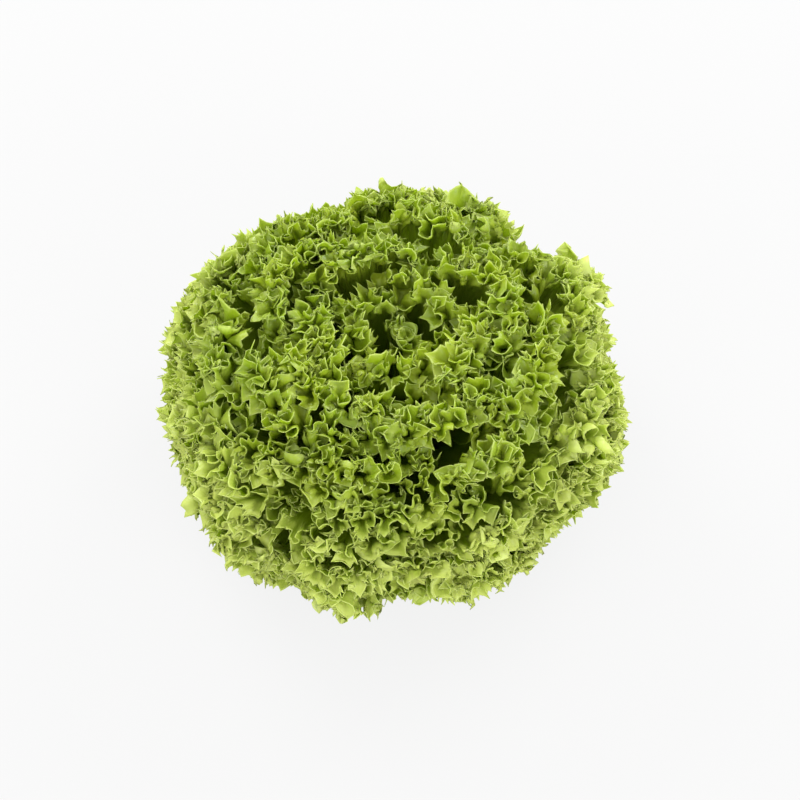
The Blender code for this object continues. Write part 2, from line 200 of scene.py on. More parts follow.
# The size of its patches, spots, patchy stretches of the pale rim and its painted highlight, veins
# and grain, in waves a metre.
PATCH_SCALE = 38
SPOT_SCALE = 240
RIM_PATCH_SCALE = 90
VEIN_SCALE = 330
GRAIN_SCALE = 520
# From and to which distance from the axis a leaf turns pale, partly with painted light, and from
# the margin dark with painted shade, and pale.
OUTER_PAINTED_LIGHT_REACH = (0.090, 0.142)
PAINTED_SHADE_REACH = (0.005, 0.022)
HEART_REACH = (0.050, 0.090)
# How far in from the margin the pale rim reaches, partly its own colour and partly a painted
# highlight.
PALE_RIM_AND_HIGHLIGHT = 0.0011
# How much longer the net of veins is up the leaf than along its margin, as a factor below 1.
VEIN_STRETCH = 0.45

# The stem's flesh, its paler streaks, and the browned cut face with how high it goes.
STEM_GREEN = (0.56, 0.62, 0.30)
STEM_PALE = (0.74, 0.78, 0.52)
STEM_BROWN = (0.36, 0.22, 0.09)
BROWN_HEIGHT = 0.0012
# Their streaks and blotches in waves a metre, and upwards by this factor of that.
STREAK_SCALE = 420
STREAK_STRETCH = 0.15
BROWN_SCALE = 160

# The soft lamps, place, size and power, and what they point at.
SOFT_LIGHTS = (
    ((-0.30, 0.40, 1.60), 0.9, 6), ((-0.90, 1.15, 0.90), 0.9, 27), ((0.95, 1.10, 0.90), 0.9, 27),
    ((-0.90, -1.15, 0.75), 0.9, 12), ((0.95, -1.10, 0.75), 0.9, 18),
)
LAMP_TARGET = Vector((0, 0, 0.05))
WHITE_ROOM = 1.10
# The floor: half size, its own grey, how bright it is by itself near the head and far off, and
# between which distances that changes.
FLOOR_HALF_SIZE = 15.0
FLOOR_GREY = 0.05
FLOOR_GLOW = (0.835, 1.0)
FLOOR_REACH = (0.4, 2.0)

# The camera: lens, height above the table's plane, what it looks at and from how far.
LENS = 70
CAMERA_ELEVATION = math.radians(60)
CAMERA_TARGET = Vector((0.0059, -0.0057, 0.0694))
CAMERA_DISTANCE = 0.935


def smoothstep(value, low, high):
    share = np.clip((value - low) / (high - low), 0, 1)
    return share * share * (3 - 2 * share)


def between(pair, share):
    return pair[0] + (pair[1] - pair[0]) * share


def unit(vectors):
    return vectors / np.maximum(np.linalg.norm(vectors, axis=-1, keepdims=True), 1e-12)


def along_line(points):
    """How far along the line each of its points is."""
    steps = np.linalg.norm(np.diff(points, axis=0), axis=1)
    return np.concatenate([[0], np.cumsum(steps)])


def evenly_spaced(line, samples):
    """The line's length, and points evenly spaced along it."""
    along = along_line(line)
    even = np.linspace(0, along[-1], samples)
    return along[-1], np.column_stack([np.interp(even, along, line[:, k]) for k in range(2)])


def smooth_line(points, samples=241):
    """The length of the smooth curve through the points, and points evenly spaced along it."""
    given = np.array(points, float)
    given = np.vstack([2 * given[0] - given[1], given, 2 * given[-1] - given[-2]])
    t = np.linspace(0, 1, 40)[:, None]
    pieces = []
    for a, b, c, d in zip(given, given[1:], given[2:], given[3:]):
        bend = 2 * a - 5 * b + 4 * c - d
        twist = 3 * b - a - 3 * c + d
        pieces.append(0.5 * (2 * b + (c - a) * t + bend * t**2 + twist * t**3))
    return evenly_spaced(np.vstack(pieces), samples)


DOME_LENGTH, DOME_LINE = smooth_line(DOME)
DOME_ALONG = np.linspace(0, DOME_LENGTH, len(DOME_LINE))


def dome_at(along):
    """Radius and height of the dome, a distance along it from the heart."""
    return np.array([np.interp(along, DOME_ALONG, DOME_LINE[:, k]) for k in range(2)])


def lobe_factor(azimuth):
    """How far the dome reaches in a direction, against its round outline."""
    factor = 1 + sum(size * np.cos(count * azimuth - turn) for count, size, turn in DOME_LOBES)
    for middle, half_width, size in DOME_BAYS:
        away = (azimuth - middle + math.pi) % (2 * math.pi) - math.pi
        factor = factor + size * np.exp(-((away / half_width) ** 2))
    return factor


def stem_radius(height):
    radii, heights = zip(*STEM_OUTLINE)
    return np.interp(height, heights, radii)


def tip_half_width(along):
    return between(TIP_HALF_WIDTH, np.clip(along / DOME_LENGTH, 0, 1) ** 0.7)


def leaf_places():
    """Each leaf's distance along the dome and its azimuth, from the heart out.

    The leaves lie closest where the dome's ring holds most of them side by side."""
    even = np.linspace(HEART_RADIUS, DOME_LENGTH - TABLE_REST, 400)
    crowding = np.maximum(dome_at(even)[0], 0.008) / tip_half_width(even)
    count = np.concatenate([[0], np.cumsum((crowding[1:] + crowding[:-1]) / 2)])
    count *= (LEAF_COUNT - 1) / count[-1]
    rng = np.random.default_rng(SEED)
    number = np.arange(LEAF_COUNT)
    scattered = number + rng.uniform(-SCATTER_ALONG, SCATTER_ALONG, LEAF_COUNT)
    azimuth = number * GOLDEN_ANGLE + rng.uniform(-SCATTER_ROUND, SCATTER_ROUND, LEAF_COUNT)
    return np.interp(scattered, count, even), azimuth % (2 * math.pi)


LEAF_ALONG, LEAF_AZIMUTH = leaf_places()


class Leaf:
    """One leaf's shape, from its root on the stem to its margin on the dome.

    Columns run across the leaf and are counted in short half folds, q. lateral is the same place
    from -1 to 1, and rows run from 0 at the root to 1 at the margin."""

    def __init__(self, index):
        rng = np.random.default_rng(SEED * 1000 + index)
        self.name = f"leaf_{index + 1:02d}"
        self.index = index
        self.outwards = index / (LEAF_COUNT - 1)
        self.half_width = tip_half_width(LEAF_ALONG[index])
        self.ring = max(dome_at(LEAF_ALONG[index])[0], 0.012)
        self.half_span = min(self.half_width / self.ring, WIDEST_HALF_SPAN)
        self.folds = max(1, round(self.half_width * 2.6 / SHORT_FOLD_LENGTH / 4)) * 8
        self.fold = np.arange(self.folds + 1)
        self.q = np.linspace(0, self.folds, self.folds * COLUMNS_A_FOLD + 1)

        widths = rng.uniform(0.7, 1.3, self.folds)
        self.fold_at = np.concatenate([[0], np.cumsum(widths)]) / widths.sum() * 2 - 1
        self.ragged = rng.uniform(-1, 1, self.folds + 1)
        self.broad_start = rng.uniform(0, 2 * math.pi)
        self.wander = rng.uniform(-0.8, 0.8, 7)
        self.crest = rng.uniform(0.65, 1.25, self.folds + 1)
        self.tooth_size = rng.uniform(0.35, 1.0, self.folds + 1)
        self.opening = np.full(self.folds + 1, FIRST_OPENING)
        self.calm = 1.0

    def middle_line(self, samples=60):
        """The length of the midrib's line, and its radius and height from root to tip."""
        root_height = between((HIGHEST_ROOT, LOWEST_ROOT), self.outwards**0.8)
        clear = stem_radius(root_height) + STEM_GAP + between(RIB_THICKNESS, self.outwards) / 2
        # The root's columns are chords round the stem, so it lies further out the wider they are.
        root_columns = self.folds >> ROOT_HALVINGS
        column_turn = between(ROOT_HALF_WIDTH, self.outwards) / clear / root_columns
        root = np.array([clear / math.cos(column_turn), root_height])
        tip = dome_at(LEAF_ALONG[self.index])
        root_angle = math.radians(88 - 78 * self.outwards**0.8)
        tip_angle = math.radians(90 - 95 * self.outwards**1.6)
        reach = 0.38 * np.linalg.norm(tip - root)
        low = root + reach * np.array([math.cos(root_angle), math.sin(root_angle)])
        high = tip - reach * np.array([math.cos(tip_angle), math.sin(tip_angle)])
        t = np.linspace(0, 1, samples)[:, None]
        first, last = (1 - t) ** 2, t**2
        curve = first * ((1 - t) * root + 3 * t * low) + last * (3 * (1 - t) * high + t * tip)
        return evenly_spaced(curve, samples)

    def find_share(self, leaves):
        """How far the dome is free on both sides of the margin: half of it, and its middle."""
        self.length, self.line = self.middle_line()
        lateral = np.interp(self.q, self.fold, self.fold_at)
        ragged = np.interp(self.q, self.fold, self.ragged)
        reach = 1 - 0.10 * np.abs(lateral) ** 3 + 0.03 * ragged
        along = np.linspace(0, 1, len(self.line))
        radius = np.maximum(np.interp(reach, along, self.line[:, 0]), 0.004)
        offsets = lateral * np.minimum(self.half_width / radius, WIDEST_HALF_SPAN)
        heartwards = np.full(offsets.shape, WIDEST_SHARE)
        tablewards = np.full(offsets.shape, WIDEST_SHARE)
        for other in leaves:
            if other is self:
                continue
            turn = LEAF_AZIMUTH[other.index] - LEAF_AZIMUTH[self.index]
            turn = (turn + math.pi) % (2 * math.pi) - math.pi
            beyond = (np.abs(offsets - turn) - other.half_span) * self.ring - SIDE_CLEARANCE
            apart = abs(LEAF_ALONG[other.index] - LEAF_ALONG[self.index])
            gap = apart + 2.5 * np.maximum(0, beyond)
            if other.index < self.index:
                heartwards = np.minimum(heartwards, gap)
            else:
                tablewards = np.minimum(tablewards, gap)
        room = np.maximum((heartwards + tablewards) / 4 - BROAD_CLEARANCE, LEAST_SWING)
        blend = SHARE_BLEND * COLUMNS_A_FOLD
        window = np.hanning(2 * blend + 3)[1:-1]
        self.room, self.middle = (
            np.convolve(np.pad(share, blend, mode="edge"), window / window.sum(), mode="valid")
            for share in (room, (tablewards - heartwards) / 4)
        )

    def lay_fan(self, q, steps):
        """The fan on its own cup, with the broad folds that its share of the dome allows."""
        rows = np.linspace(0, 1, steps + 1)[:, None]
        lateral, ragged = (np.interp(q, self.fold, v) for v in (self.fold_at, self.ragged))
        room, middle = (np.interp(q, self.q, v) for v in (self.room, self.middle))
        wander = np.interp(q, np.linspace(0, self.folds, len(self.wander)), self.wander)
        at = rows * (1 - 0.10 * np.abs(lateral) ** 3 + 0.03 * ragged)
        along = np.linspace(0, 1, len(self.line))
        radius, height = (np.interp(at, along, self.line[:, k]) for k in range(2))
        course = unit(np.gradient(self.line, axis=0))
        outward, upward = (np.interp(at, along, course[:, k]) for k in range(2))
        root_half = between(ROOT_HALF_WIDTH, self.outwards)
        half = root_half + (self.half_width - root_half) * smoothstep(rows, 0.10, 0.95)
        radius = np.maximum(radius, 0.004)
        span = np.minimum(half / radius, WIDEST_HALF_SPAN)
        turn = lateral * span
        # A leaf that wraps round the heart is squeezed, and has broad folds less deep.
        room = room * self.calm * (span * radius / half)[-1]
        count = max(1.0, 2 * self.half_width / BROAD_FOLD_LENGTH)
        broad = math.pi * count * (lateral + 1) + self.broad_start + wander
        grow = rows**2.6
        swing = (middle + room * np.sin(broad)) * grow
        sway = 0.45 * room * np.sin(2 * broad) * grow
        radius = radius + upward * swing
        height = height - outward * swing
        azimuth = LEAF_AZIMUTH[self.index] + turn + sway / np.maximum(radius, 0.010)
        radius = radius * (1 + (lobe_factor(azimuth) - 1) * smoothstep(rows, 0.15, 1.0))
        return np.stack([radius * np.cos(azimuth), radius * np.sin(azimuth), height], axis=-1)

    def open_folds(self, q, steps, fan, tooth_share=1.0):
        """The middle surface with its short folds, as far as each fold may open.

        The last stretch of every ray from the root tilts to one side and the other, at its own
        length, and at every crest it runs on to a point."""
        rows = np.linspace(0, 1, steps + 1)[:, None]
        ray = np.gradient(fan, rows[:, 0], axis=0)
        pace = np.linalg.norm(ray, axis=-1, keepdims=True)
        ray = unit(ray)
        normal = unit(np.cross(ray, np.gradient(fan, axis=1)))
        side = unit(np.cross(normal, ray))
        opening, crest, tooth_size = (
            np.interp(q, self.fold, v) for v in (self.opening, self.crest, self.tooth_size)
        )
        from_margin = (1 - rows) * self.length
        rise = SHORT_FOLD_TILT * (1 - smoothstep(from_margin, 0, SHORT_FOLD_DEPTH)) ** 1.2
        over = rise * opening * crest * np.cos(math.pi * q)
        aside = rise * opening * 0.55 * np.sin(2 * math.pi * q)
        tilt = np.sqrt(over**2 + aside**2)
        direction = normal * over[..., None] + side * aside[..., None]
        direction /= np.maximum(tilt, 1e-9)[..., None]
        heading = ray * np.cos(tilt)[..., None] + direction * np.sin(tilt)[..., None]

        from_crest = np.abs((q / 2 + 0.5) % 1.0 - 0.5) * 2
        tooth = tooth_share * TOOTH_LENGTH * opening * tooth_size * (1 - from_crest) ** 1.6
        margin = smoothstep(from_margin, TOOTH_DEPTH, 0)
        stretch = 1 + (tooth - VALLEY_DEPTH) * margin / (TOOTH_DEPTH / 2)
        step = heading * pace * np.maximum(stretch, 0.2)[..., None]
        legs = (step[1:] + step[:-1]) / 2 / steps
        return np.concatenate([fan[:1], fan[:1] + np.cumsum(legs, axis=0)])

    def find_room(self, solids):
        """How far it is from the margin to the next leaf or fold, on both sides of the blade."""
        surface = self.open_folds(self.q, ROW_STEPS, self.fan)
        normal = np.cross(np.gradient(surface, axis=0), np.gradient(surface, axis=1))
        row = ROW_STEPS - round(FREE_BELOW_MARGIN / self.length * ROW_STEPS)
        self.free = []
        for way in (1, -1):
            found = []
            for place, course in zip(surface[row], way * unit(normal[row])):
                start = place + course * FREE_START
                distance = solids.ray_cast(Vector(start), Vector(course), FREE_LIMIT)[3]
                found.append(FREE_LIMIT if distance is None else distance + FREE_START)
            window = np.hanning(FREE_WINDOW)[1:-1]
            padded = np.pad(found, len(window) // 2, mode="edge")
            self.free.append(np.convolve(padded, window / window.sum(), mode="valid"))

    def rib(self, q, share, thickness):
        """How much thicker the midrib is than the blade."""
        rib = between(RIB_THICKNESS, self.outwards) - thickness
        centred = np.maximum(0.0, 1 - np.abs(np.interp(q, self.fold, self.fold_at)))
        return rib * centred**1.5 * (1 - smoothstep(share, 0.0, 0.85))

    def spread_fan(self):
        self.fan = self.lay_fan(self.q, ROW_STEPS)

    def shell(self, slab):
        """The solid's vertices, half its thickness off the middle surface, and which way."""
        share = np.array([share for share, _ in LEAF_ROWS])[slab.row]
        surface = self.open_folds(self.q, ROW_STEPS, self.fan)
        middle = surface[np.rint(share * ROW_STEPS).astype(int), slab.column * COLUMNS_A_FOLD]
        outward, lean = slab.outward(middle)
        ridge = self.rib(slab.column, share, SOLID_THICKNESS)
        half = (SOLID_THICKNESS / np.clip(lean, LEAST_LEAN, 1) + ridge) / 2
        return middle + outward * half[:, None], outward


class Slab:
    """A flat slab of triangles that is laid on a leaf: its mesh, and where its vertices lie."""

    def __init__(self, columns, halvings):
        self.mesh = flat_slab(columns, halvings)
        places = np.empty(len(self.mesh.vertices) * 3)
        self.mesh.vertices.foreach_get("co", places)
        corners = np.empty(len(self.mesh.polygons) * 3, int)
        self.mesh.polygons.foreach_get("vertices", corners)
        column, row, self.side = places.reshape(-1, 3).T
        self.faces = corners.reshape(-1, 3)
        self.column = np.rint(column).astype(int)
        self.row = np.rint(row).astype(int)
        self.blade_faces = self.faces[np.ptp(self.side[self.faces], axis=1) == 0]

    def face_normals(self, points):
        a, b, c = (points[self.blade_faces[:, k]] for k in range(3))
        return np.cross(b - a, c - a)

    def outward(self, points, steps=24):
        """At each vertex, the direction nearest to the normals of all its faces, and how near."""
        corner = self.blade_faces.T.ravel()
        normal = np.tile(unit(self.face_normals(points)), (3, 1))
        direction = np.zeros(points.shape)
        np.add.at(direction, corner, normal)
        direction = unit(direction)
        for step in range(2, steps):
            lean = (direction[corner] * normal).sum(axis=1)
            order = np.lexsort((lean, corner))
            vertex, first = np.unique(corner[order], return_index=True)
            furthest = normal[order[first]]
            direction[vertex] += (furthest - direction[vertex]) / step
        direction = unit(direction)
        lean = (direction[corner] * normal).sum(axis=1)
        least = np.ones(len(points))
        np.minimum.at(least, corner, lean)
        return direction, least

    def smooth_normals(self, points):
        """At each vertex, the mean of its faces' normals."""
        corner = self.blade_faces.T.ravel()
        normal = np.tile(self.face_normals(points), (3, 1))
        summed = [np.bincount(corner, normal[:, k], len(points)) for k in range(3)]
        return unit(np.stack(summed, axis=-1))


def flat_slab(columns, halvings):
    """A mesh whose vertices lie at (column, row, side): side is -1 or 1.

    Each row has the columns halved as often as halvings says, and both faces are split alike."""
    bm = bmesh.new()
    first = columns >> halvings[0]
    bmesh.ops.create_grid(bm, x_segments=first, y_segments=1, size=0.5)
    bmesh.ops.delete(bm, geom=[v for v in bm.verts if v.co.y > 0], context="VERTS")
    for vertex in bm.verts:
        vertex.co = (round((vertex.co.x + 0.5) * first) * columns / first, 0, 0)
    edges = list(bm.edges)
    for row, halved in enumerate(halvings[1:], 1):
        made = bmesh.ops.extrude_edge_only(bm, edges=edges)["geom"]
        vertices = [g for g in made if isinstance(g, bmesh.types.BMVert)]
        bmesh.ops.translate(bm, verts=vertices, vec=(0, 1, 0))
        leading = set(vertices)
        edges = [e for v in vertices for e in v.link_edges if leading.issuperset(e.verts)]
        edges = list(dict.fromkeys(edges))
        if halved < halvings[row - 1]:
            split = bmesh.ops.subdivide_edges(bm, edges=edges, cuts=1)["geom_split"]
            edges = [g for g in split if isinstance(g, bmesh.types.BMEdge)]
    bmesh.ops.triangulate(bm, faces=bm.faces[:])
    bmesh.ops.translate(bm, verts=bm.verts[:], vec=(0, 0, -1))
    made = bmesh.ops.extrude_face_region(bm, geom=bm.faces[:], use_keep_orig=True)["geom"]
    vertices = [g for g in made if isinstance(g, bmesh.types.BMVert)]
    bmesh.ops.translate(bm, verts=vertices, vec=(0, 0, 2))
    bmesh.ops.triangulate(bm, faces=[f for f in bm.faces if len(f.verts) > 3])
    bmesh.ops.recalc_face_normals(bm, faces=bm.faces[:])
    mesh = bpy.data.meshes.new(f"slab_{columns}")
    bm.to_mesh(mesh)
    bm.free()
    return mesh


class Place:
    """The space that a leaf takes up as its folds are now, with the gap that it keeps."""

    def __init__(self, leaf, slab):
        self.leaf, self.faces = leaf, slab.faces
        shell, outward = leaf.shell(slab)
        self.points = shell + outward * LEAF_GAP / 2
        self.touched = [np.nonzero(self.points[:, 2] < LEAF_GAP)[0]]
        for gap in (0, FOLD_GAP):
            grown = shell + outward * gap / 2
            tree = BVHTree.FromPolygons(grown.tolist(), self.faces.tolist())
            first, second = self.crossing_faces(tree, tree, self.faces)
            apart = (first[:, :, None] != second[:, None, :]).all(axis=(1, 2))
            self.touched.append(first[apart].ravel())
        self.low, self.high = self.points.min(axis=0), self.points.max(axis=0)
        self.tree = BVHTree.FromPolygons(self.points.tolist(), self.faces.tolist())

    def crossing_faces(self, tree, other_tree, other_faces):
        pairs = np.array(tree.overlap(other_tree), int).reshape(-1, 2)
        return self.faces[pairs[:, 0]], other_faces[pairs[:, 1]]

    def meet(self, other):
        """Notes where this leaf and another touch."""
        if (self.low < other.high).all() and (other.low < self.high).all():
            mine, theirs = self.crossing_faces(self.tree, other.tree, other.faces)
            self.touched.append(mine.ravel())
            other.touched.append(theirs.ravel())


def hold_folds_back(leaves, slabs):
    """Opens the folds of all the leaves less, round by round, where they would touch."""
    places = {}
    first_folded = [share >= FIRST_FOLDED_SHARE for share, _ in LEAF_ROWS].index(True)
    changed = set(range(len(leaves)))
    for _ in range(MOST_ROUNDS):
        for index in changed:
            places[index] = Place(leaves[index], slabs[index])
        for a, b in itertools.combinations(range(len(leaves)), 2):
            if a in changed or b in changed:
                places[a].meet(places[b])
        changed = set()
        for index, (leaf, slab) in enumerate(zip(leaves, slabs)):
            vertices = np.unique(np.concatenate(places[index].touched))
            places[index].touched = [np.empty(0, int)]
            folds = np.unique(slab.column[vertices[slab.row[vertices] >= first_folded]])
            if len(folds):
                if leaf.opening[folds].min() < LEAST_OPENING:
                    leaf.calm *= HOLD_BACK
                    leaf.spread_fan()
                leaf.opening[folds] *= HOLD_BACK
                changed.add(index)
        if not changed:
            return


def grow_leaves():
    """All the leaves, with their folds opened as far as in the solids."""
    leaves = [Leaf(index) for index in range(LEAF_COUNT)]
    for leaf in leaves:
        leaf.find_share(leaves)
        leaf.spread_fan()
    halvings = [halved for _, halved in LEAF_ROWS]
    widths = {leaf.folds: Slab(leaf.folds, halvings) for leaf in leaves}
    slabs = [widths[leaf.folds] for leaf in leaves]
    hold_folds_back(leaves, slabs)
    points, faces, count = [], [], 0
    for leaf, slab in zip(leaves, slabs):
        points.append(leaf.shell(slab)[0])
        faces.append(slab.faces + count)
        count += len(points[-1])
    solids = BVHTree.FromPolygons(np.vstack(points).tolist(), np.vstack(faces).tolist())
    for leaf in leaves:
        leaf.find_room(solids)
    for slab in widths.values():
        bpy.data.meshes.remove(slab.mesh)
    return leaves


class Margin:
    """What runs along a leaf's margin: fine ruffles, lobes, teeth and the way that it curls."""

    def __init__(self, leaf, q, arc):
        rng = np.random.default_rng(SEED * 7000 + leaf.index)
        self.arc = arc
        knots = np.arange(0, arc[-1] + 0.05, MARGIN_KNOTS)
        over, under = (np.interp(q, leaf.q, free) for free in leaf.free)
        variety = rng.uniform(*RUFFLE_VARIETY, len(knots))
        rise = FILLED * (over + under) * np.interp(arc, knots, variety)
        rise = np.clip(rise, *RUFFLE_RISE)
        roomy = (rise - RUFFLE_RISE[0]) / (RUFFLE_RISE[1] - RUFFLE_RISE[0])
        step = np.gradient(arc)
        phase = np.cumsum(2 * math.pi * step / between(RUFFLE_LENGTH, roomy))
        phase += rng.uniform(0, 2 * math.pi)
        self.depth = between(RUFFLE_DEPTH, roomy)
        self.ruffle = rise * np.sin(phase) + (over - under) / 4
        self.ruffle_aside = -RUFFLE_OVERHANG * rise * np.sin(2 * phase + RUFFLE_LEAN)
        self.curl = np.interp(arc, knots, rng.normal(RIM_CURL, RIM_CURL_SPREAD, len(knots)))
        every = np.interp(arc, knots, between(RIPPLE_LENGTH, rng.uniform(0, 1, len(knots))))
        strength = np.interp(arc, knots, rng.uniform(*RIPPLE_STRENGTH, len(knots)))
        ripple_phase = np.cumsum(2 * math.pi * step / every)
        self.ripple = RIPPLE_HEIGHT * every * strength * np.sin(ripple_phase)
        self.run_out = self.lobes(rng) + self.teeth(rng) - NOTCH_DEPTH

    def lobes(self, rng):
        """How far the margin runs out in rounded lobes of uneven length."""
        at, height = [0.0], [0.0]
        while at[-1] < self.arc[-1]:
            length = rng.uniform(*LOBE_LENGTH)
            at += [at[-1] + length * rng.uniform(*LOBE_TOP), at[-1] + length]
            height += [rng.uniform(*LOBE_HEIGHT), 0.0]
        number = np.interp(self.arc, at, np.arange(len(at)))
        left = np.floor(number).astype(int).clip(0, len(at) - 2)
        share = number - left
        up = np.where(np.array(height)[left] > 0, 1 - share, share)
        tallest = np.maximum(np.array(height)[left], np.array(height)[left + 1])
        return tallest * np.sin(up * math.pi / 2) ** 1.2

    def teeth(self, rng):
        """How far the margin runs out in pointed teeth, each with its tip on a column."""
        count = len(self.arc)
        gaps = rng.uniform(*TOOTH_GAP, int(self.arc[-1] / TOOTH_GAP[0])) / self.arc[1]
        tips = np.cumsum(np.rint(gaps).astype(int))
        tips = tips[tips < count - 1]
        tips = np.concatenate([[0], tips, [count - 1]])
        columns = np.arange(count)
        following = np.searchsorted(tips, columns, side="left").clip(1, len(tips) - 1)
        before, after = tips[following - 1], tips[following]
        nearest = np.where(columns - before < after - columns, following - 1, following)
        far = np.abs(columns - tips[nearest]) / np.maximum((after - before) / 2, 1)
        size = rng.uniform(*FINE_TOOTH_LENGTH, len(tips))
        size = size * rng.choice(FINE_TOOTH_SIZES, len(tips))
        return size[nearest] * np.clip(1 - far, 0, 1) ** FINE_TOOTH_HOLLOW


def blisters(leaf, arc, from_margin):
    """Two crossed waves over the blade, that die out where it is smooth, deep in the head."""
    along, across = (2 * math.pi / length for length in BLISTER_LENGTH)
    rows = from_margin * across
    slower, steeper = BLISTER_CROSSING
    first = np.sin(arc * along + rows + leaf.index)
    second = np.sin(arc * along * slower - rows * steeper)
    shallow, deep = BLISTER_FADE
    return BLISTER_RISE * first * second * smoothstep(from_margin, deep, shallow)


def roll_rim(middle, depth, curl):
    """Bends the rows next to the margin over, about the line that runs along it."""
    legs = np.diff(middle, axis=0)
    axis = unit(np.gradient(middle, axis=1)[1:])
    turn = (smoothstep(depth[1:, None], RIM_CURL_DEPTH, 0) * curl)[..., None]
    lengthwise = axis * (axis * legs).sum(axis=-1, keepdims=True)
    bent = (legs - lengthwise) * np.cos(turn) + np.cross(axis, legs) * np.sin(turn) + lengthwise
    return np.concatenate([middle[:1], middle[:1] + np.cumsum(bent, axis=0)])


def fine_shape(leaf, slab):
    """The leaf's fine vertices, and for each its distance from the margin and place along it."""
    coarse = np.linspace(0, leaf.folds, leaf.folds * 10 + 1)
    fan = leaf.lay_fan(coarse, ROW_STEPS)
    margin = leaf.open_folds(coarse, ROW_STEPS, fan, TOOTH_SHARE)[-1]
    arc = along_line(margin)
    even = np.linspace(0, arc[-1], leaf.folds * FINE_COLUMNS + 1)
    q = np.interp(even, arc, coarse)
    fan = leaf.lay_fan(q, FINE_ROW_STEPS)
    surface = leaf.open_folds(q, FINE_ROW_STEPS, fan, TOOTH_SHARE)

    depth = np.array([depth for depth, _ in FINE_ROWS] + [leaf.length])[::-1]
    at = (1 - depth / leaf.length) * FINE_ROW_STEPS
    low = np.floor(at).astype(int).clip(0, FINE_ROW_STEPS - 1)
    part = (at - low)[:, None, None]
    middle = surface[low] * (1 - part) + surface[low + 1] * part

    edge = Margin(leaf, q, even)
    from_margin = depth[:, None]
    normal = unit(np.cross(np.gradient(middle, axis=0), np.gradient(middle, axis=1)))
    heading = unit(surface[-1] - surface[-6])
    aside = unit(np.cross(normal, heading))
    ruffling = smoothstep(from_margin, edge.depth, 0)
    toothed = smoothstep(from_margin, FINE_TOOTH_DEPTH, 0)
    lift = edge.ruffle * ruffling + edge.ripple * smoothstep(from_margin, RIPPLE_DEPTH, 0)
    lift = lift + blisters(leaf, even, from_margin)
    middle = middle + normal * lift[..., None]
    middle = middle + aside * (edge.ruffle_aside * ruffling)[..., None]
    middle = middle + heading * (edge.run_out * toothed)[..., None]
    middle = roll_rim(middle, depth, edge.curl)

    points = middle[slab.row, slab.column]
    share = 1 - depth[slab.row] / leaf.length
    thin = smoothstep(depth[slab.row], 0, 0.004)
    thickness = RIM_THICKNESS + (BLADE_THICKNESS - RIM_THICKNESS) * thin
    thickness += leaf.rib(q[slab.column], share, BLADE_THICKNESS)
    points = points + slab.smooth_normals(points) * thickness[:, None] / 2
    # No frill dips into the table.
    points[:, 2] = np.maximum(points[:, 2], LEAF_GAP)
    return points, depth[slab.row], even[slab.column]


def add_piece(name, mesh, material):
    """Adds the mesh as a piece that stands for the CAD node of this name."""
    mesh.name = name
    mesh.materials.clear()
    mesh.materials.append(material)
    piece = bpy.data.objects.new(name + "_look", mesh)
    bpy.context.scene.collection.objects.link(piece)
    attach(piece, "root")
    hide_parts(name)


def add_values(mesh, name, values):
    mesh.attributes.new(name, "FLOAT", "POINT").data.foreach_set("value", values)


def make_leaves(material):
    """Every leaf as a fine mesh of its own, which holds where each of its vertices lies."""
    leaves = grow_leaves()
    halvings = [halved for _, halved in FINE_ROWS] + [ROOT_HALVINGS]
    halvings.reverse()
    widths = {leaf.folds: Slab(leaf.folds * FINE_COLUMNS, halvings) for leaf in leaves}
    for leaf in leaves:
        slab = widths[leaf.folds]
        points, from_margin, along = fine_shape(leaf, slab)
        mesh = slab.mesh.copy()
        mesh.vertices.foreach_set("co", points.ravel())
        mesh.shade_smooth()
        add_values(mesh, "from_margin", from_margin)
        add_values(mesh, "along_margin", along)
        add_piece(leaf.name, mesh, material)
    for slab in widths.values():
        bpy.data.meshes.remove(slab.mesh)


def make_stem(material):
    """The stem: its outline spun round the axis, with a flat cut face at the bottom."""
    bm = bmesh.new()
    _, line = smooth_line(STEM_OUTLINE[1:], 28)
    crown = (0, STEM_OUTLINE[-1][1] + STEM_CROWN)
    outline = [(0, 0), STEM_OUTLINE[0], *line.tolist(), crown]
    vertices = [bm.verts.new((radius, 0, height)) for radius, height in outline]
    edges = [bm.edges.new(pair) for pair in zip(vertices, vertices[1:])]
    bmesh.ops.spin(
        bm, geom=vertices + edges, cent=(0, 0, 0), axis=(0, 0, 1),
        angle=2 * math.pi, steps=STEM_SIDES, use_merge=True,
    )
    bmesh.ops.remove_doubles(bm, verts=bm.verts[:], dist=1e-6)
    bmesh.ops.recalc_face_normals(bm, faces=bm.faces[:])
    mesh = bpy.data.meshes.new("stem")
    bm.to_mesh(mesh)
    bm.free()
    mesh.shade_smooth()
    add_piece("stem", mesh, material)


class Value:
    """A shader socket that takes part in sums, each of which adds a Math node."""

    def __init__(self, paint, socket):
        self.paint, self.socket = paint, socket

    def math(self, operation, *terms):
        return self.paint.node("ShaderNodeMath", {"operation": operation}, dict(enumerate(terms)))

    def __add__(self, other):
        return self.math("ADD", self, other)

    def __sub__(self, other):
        return self.math("SUBTRACT", self, other)

    def __rsub__(self, other):
        return self.math("SUBTRACT", other, self)

    def __mul__(self, other):
        return self.math("MULTIPLY", self, other)

    __radd__, __rmul__ = __add__, __mul__


